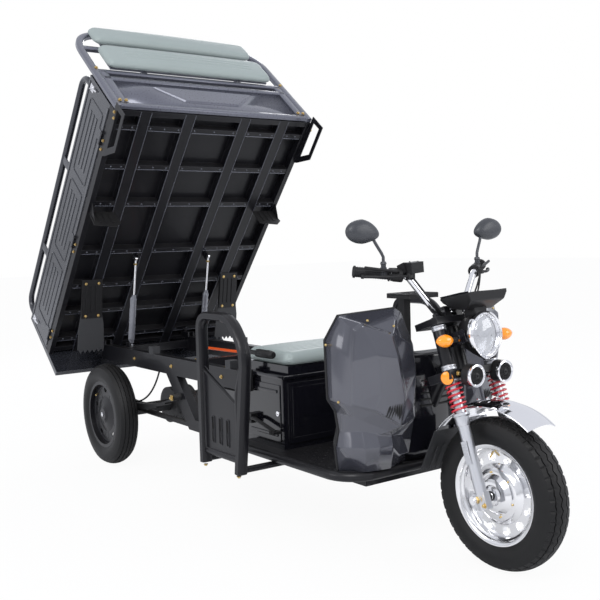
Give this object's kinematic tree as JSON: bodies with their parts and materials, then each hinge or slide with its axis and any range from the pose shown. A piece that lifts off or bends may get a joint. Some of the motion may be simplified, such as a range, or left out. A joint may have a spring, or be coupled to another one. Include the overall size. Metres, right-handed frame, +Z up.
{
  "type": "electric cargo tricycle with a tipping load bed",
  "caption": "Three-wheeled electric cargo vehicle with its load bed tipped up, drop-down side gates, tailgate, leg shield, driver's seat and sprung front fork.",
  "frame": {"origin": "on the ground below the middle of the bounding box", "axes": "+Z up, -Y forward, +X to the vehicle's left"},
  "size_m": [1.078, 3.1453, 2.1314],
  "materials": {
    "frame_black": "satin",
    "body_grey": "gloss",
    "shield_grey": "gloss",
    "cushion": "satin",
    "tyre": "matt",
    "rubber": "matt",
    "wheel_black": "gloss",
    "bright_alloy": "polished",
    "chrome": "polished",
    "steel": "satin",
    "strut_wrap": "gloss",
    "spring_red": "gloss",
    "lamp_clear": "clear",
    "lamp_shell": "satin",
    "amber": "gloss",
    "red_lamp": "gloss",
    "cable_orange": "satin"
  },
  "bodies": {
    "chassis": {"main_frame": "frame_black", "bed_rest_pads": "rubber", "foot_board": "frame_black", "battery_case": "frame_black", "seat_box": "frame_black", "driver_seat": "cushion", "hip_guard_right": "frame_black", "hip_guard_left": "frame_black", "shield_wing_right": "shield_grey", "shield_wing_left": "shield_grey", "shield_centre": "shield_grey", "dash_console": "frame_black", "rear_axle": "frame_black", "drive_motor": "frame_black", "leaf_springs": "frame_black", "power_cable": "cable_orange"},
    "steering": {"fork_leg_right": "bright_alloy", "fork_leg_left": "bright_alloy", "fork_yokes": "frame_black", "fork_springs": "spring_red", "front_axle": "steel", "front_mudguard": "chrome", "front_mud_flap": "rubber", "handlebar": "chrome", "hand_controls_right": "rubber", "hand_controls_left": "rubber", "mirror_right": "shield_grey", "mirror_left": "shield_grey", "headlight_shell": "lamp_shell", "headlight_lens": "lamp_clear", "horns": "lamp_shell", "front_indicators": "amber"},
    "front_wheel": {"front_tyre": "tyre", "front_rim": "bright_alloy"},
    "rear_wheel_right": {"rear_tyre_right": "tyre", "rear_rim_right": "wheel_black"},
    "rear_wheel_left": {"rear_tyre_left": "tyre", "rear_rim_left": "wheel_black"},
    "bed": {"bed_floor": "frame_black", "headboard": "body_grey", "rear_frame": "body_grey", "tail_lamps": "red_lamp", "back_cushion_low": "cushion", "back_cushion_high": "cushion", "lamp_brackets": "frame_black", "bed_mud_flaps": "rubber"},
    "tailgate": {"tailgate": "body_grey"},
    "side_gate_right": {"side_gate_right": "body_grey"},
    "side_gate_left": {"side_gate_left": "body_grey"},
    "strut_cylinder_right": {"strut_cylinder_right": "strut_wrap"},
    "strut_rod_right": {"strut_rod_right": "steel"},
    "strut_cylinder_left": {"strut_cylinder_left": "strut_wrap"},
    "strut_rod_left": {"strut_rod_left": "steel"}
  },
  "joints": [
    {"name": "steering", "type": "hinge", "parent": "chassis", "child": "steering", "pos_m": [0, -1.2938, 0.23726], "axis": [0, 0.3256, 0.9455], "range_deg": [-35, 35]},
    {"name": "front_wheel_spin", "type": "hinge", "parent": "steering", "child": "front_wheel", "pos_m": [0, -1.325, 0.248], "axis": [1, 0, 0], "continuous": true},
    {"name": "rear_wheel_right_spin", "type": "hinge", "parent": "chassis", "child": "rear_wheel_right", "pos_m": [-0.388, 0.861, 0.248], "axis": [1, 0, 0], "continuous": true},
    {"name": "rear_wheel_left_spin", "type": "hinge", "parent": "chassis", "child": "rear_wheel_left", "pos_m": [0.388, 0.861, 0.248], "axis": [1, 0, 0], "continuous": true},
    {"name": "bed_tilt", "type": "hinge", "parent": "chassis", "child": "bed", "pos_m": [0, 1.224, 0.565], "axis": [1, 0, 0], "range_deg": [0, 50.4]},
    {"name": "tailgate_hinge", "type": "hinge", "parent": "bed", "child": "tailgate", "pos_m": [0, 1.35305, 0.5251], "axis": [-1, 0, 0], "range_deg": [0, 90]},
    {"name": "side_gate_right_hinge", "type": "hinge", "parent": "bed", "child": "side_gate_right", "pos_m": [-0.534, 0.89856, 1.07448], "axis": [0, -0.6374, 0.7705], "range_deg": [0, 175]},
    {"name": "strut_right_swing", "type": "hinge", "parent": "chassis", "child": "strut_cylinder_right", "pos_m": [-0.21, 0.961, 0.565], "axis": [1, 0, 0], "range_deg": [0, 76.4]},
    {"name": "strut_right_slide", "type": "slide", "parent": "strut_cylinder_right", "child": "strut_rod_right", "axis": [0, -0.2035, 0.9791], "range_m": [-0.14794, 0]},
    {"name": "side_gate_left_hinge", "type": "hinge", "parent": "bed", "child": "side_gate_left", "pos_m": [0.534, 0.89856, 1.07448], "axis": [0, 0.6374, -0.7705], "range_deg": [0, 175]},
    {"name": "strut_left_swing", "type": "hinge", "parent": "chassis", "child": "strut_cylinder_left", "pos_m": [0.21, 0.961, 0.565], "axis": [1, 0, 0], "range_deg": [0, 76.4]},
    {"name": "strut_left_slide", "type": "slide", "parent": "strut_cylinder_left", "child": "strut_rod_left", "axis": [0, -0.2035, 0.9791], "range_m": [-0.14794, 0]}
  ],
  "couplings": [
    {"joint": "strut_right_swing", "follows": "bed_tilt", "ratio": 1.5157},
    {"joint": "strut_right_slide", "follows": "bed_tilt", "m_per_rad": -0.16817},
    {"joint": "strut_left_swing", "follows": "bed_tilt", "ratio": 1.5157},
    {"joint": "strut_left_slide", "follows": "bed_tilt", "m_per_rad": -0.16817}
  ]
}
